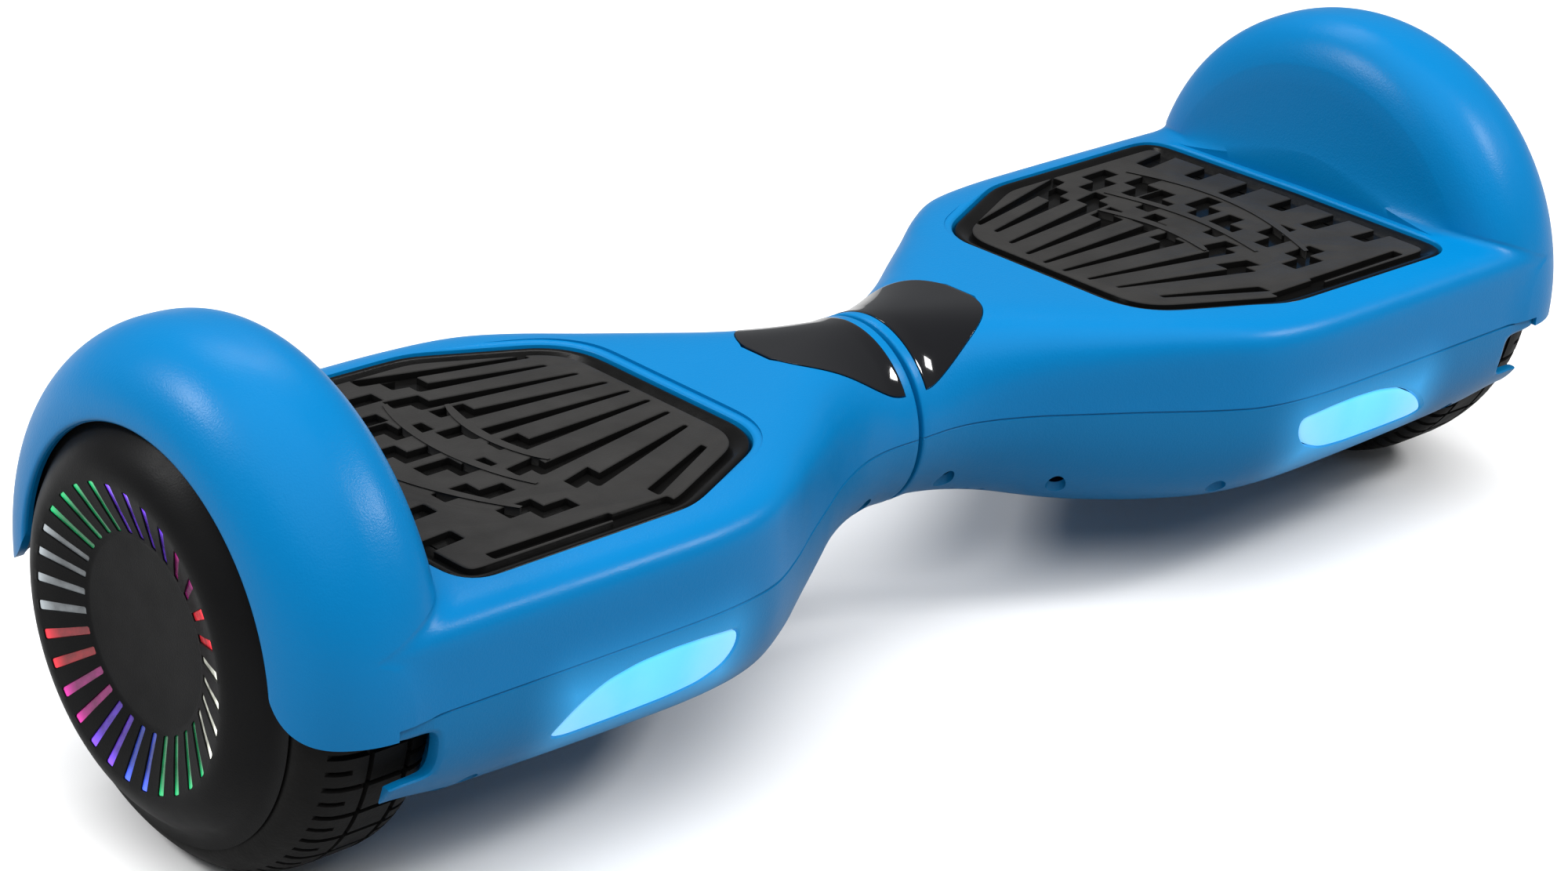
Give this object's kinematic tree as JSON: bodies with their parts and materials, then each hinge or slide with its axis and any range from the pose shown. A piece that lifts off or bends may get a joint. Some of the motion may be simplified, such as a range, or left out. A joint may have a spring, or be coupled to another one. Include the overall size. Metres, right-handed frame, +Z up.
{
  "type": "self balancing hoverboard",
  "caption": "Two wheeled self balancing board: two pivoting halves with foot pads, blue plastic shells, hub motor wheels under fenders, and lit hubcaps and headlights.",
  "frame": {"origin": "on the floor midway between the wheels, under the middle of the board", "axes": "+X along the board through both wheel axles, -Y the side with the headlights, +Z up"},
  "size_m": [0.594, 0.183, 0.1725],
  "materials": {
    "shell_blue": "satin moulded, fine grain",
    "shell_blue_lower": "satin moulded, fine grain",
    "cover_black": "high gloss",
    "hubcap_black": "satin",
    "pad_rubber": "matte with gloss channels",
    "black_plastic": "matte",
    "tyre_rubber": "matte solid rubber",
    "lit_lens": "diffusing, lit",
    "light_guide": "clear, lit",
    "cast_aluminium": "die cast",
    "steel": "turned",
    "steel_dark": "black oxide",
    "copper_wire": "enamelled copper wire",
    "bronze": "sintered bronze",
    "circuit_board": "solder mask",
    "battery_wrap": "heat shrink film",
    "strap_fabric": "woven",
    "cable_rubber": "matte",
    "button_plastic": "satin"
  },
  "bodies": {
    "left_half": {"left_upper_shell": "shell_blue", "left_lower_shell": "shell_blue_lower", "left_centre_cover": "cover_black", "left_frame": "cast_aluminium", "left_pad_bumpers": "pad_rubber", "left_sensor_board": "circuit_board", "left_headlight_lens": "lit_lens", "left_headlight_board": "circuit_board", "left_axle": "steel", "left_axle_clamp": "cast_aluminium", "left_clamp_bolts": "steel_dark", "left_shell_screws": "steel_dark", "left_stator": "steel", "left_windings": "copper_wire", "left_motor_cable": "cable_rubber", "centre_shaft": "steel", "retaining_ring": "steel_dark", "battery_pack": "battery_wrap", "battery_strap": "strap_fabric"},
    "right_half": {"right_upper_shell": "shell_blue", "right_lower_shell": "shell_blue_lower", "right_centre_cover": "cover_black", "right_frame": "cast_aluminium", "right_pad_bumpers": "pad_rubber", "right_sensor_board": "circuit_board", "right_headlight_lens": "lit_lens", "right_headlight_board": "circuit_board", "right_axle": "steel", "right_axle_clamp": "cast_aluminium", "right_clamp_bolts": "steel_dark", "right_shell_screws": "steel_dark", "right_stator": "steel", "right_windings": "copper_wire", "right_motor_cable": "cable_rubber", "shaft_bearings": "bronze", "main_board": "circuit_board", "charge_socket": "steel"},
    "left_wheel": {"left_tyre": "tyre_rubber", "left_rotor_rim": "cast_aluminium", "left_magnets": "steel", "left_motor_cover": "cast_aluminium", "left_hubcap": "hubcap_black", "left_light_guides": "light_guide", "left_wheel_bearings": "steel", "left_hub_screws": "steel_dark"},
    "right_wheel": {"right_tyre": "tyre_rubber", "right_rotor_rim": "cast_aluminium", "right_magnets": "steel", "right_motor_cover": "cast_aluminium", "right_hubcap": "hubcap_black", "right_light_guides": "light_guide", "right_wheel_bearings": "steel", "right_hub_screws": "steel_dark"},
    "left_pad": {"left_foot_pad": "pad_rubber", "left_pad_tray": "black_plastic"},
    "right_pad": {"right_foot_pad": "pad_rubber", "right_pad_tray": "black_plastic"},
    "power_button": {"power_button": "button_plastic"},
    "charge_cap": {"charge_cap": "cable_rubber"}
  },
  "joints": [
    {"name": "waist_twist", "type": "hinge", "parent": "left_half", "child": "right_half", "pos_m": [0, 0, 0.081], "axis": [1, 0, 0], "range_deg": [-12, 12]},
    {"name": "left_wheel_spin", "type": "hinge", "parent": "left_half", "child": "left_wheel", "pos_m": [-0.262, 0, 0.081], "axis": [1, 0, 0], "continuous": true},
    {"name": "right_wheel_spin", "type": "hinge", "parent": "right_half", "child": "right_wheel", "pos_m": [0.262, 0, 0.081], "axis": [1, 0, 0], "continuous": true},
    {"name": "left_pad_press", "type": "slide", "parent": "left_half", "child": "left_pad", "axis": [0, 0, 1], "range_m": [-0.002, 0], "stiffness_N_per_m": 6000, "springref_m": 0.0005},
    {"name": "right_pad_press", "type": "slide", "parent": "right_half", "child": "right_pad", "axis": [0, 0, 1], "range_m": [-0.002, 0], "stiffness_N_per_m": 6000, "springref_m": 0.0005},
    {"name": "power_button_press", "type": "slide", "parent": "right_half", "child": "power_button", "axis": [0, -1, 0], "range_m": [0, 0.0015], "stiffness_N_per_m": 600, "springref_m": -0.0005},
    {"name": "charge_cap_swing", "type": "hinge", "parent": "right_half", "child": "charge_cap", "pos_m": [0.165, 0.088, 0.0577], "axis": [-1, 0, 0], "range_deg": [0, 120]}
  ]
}
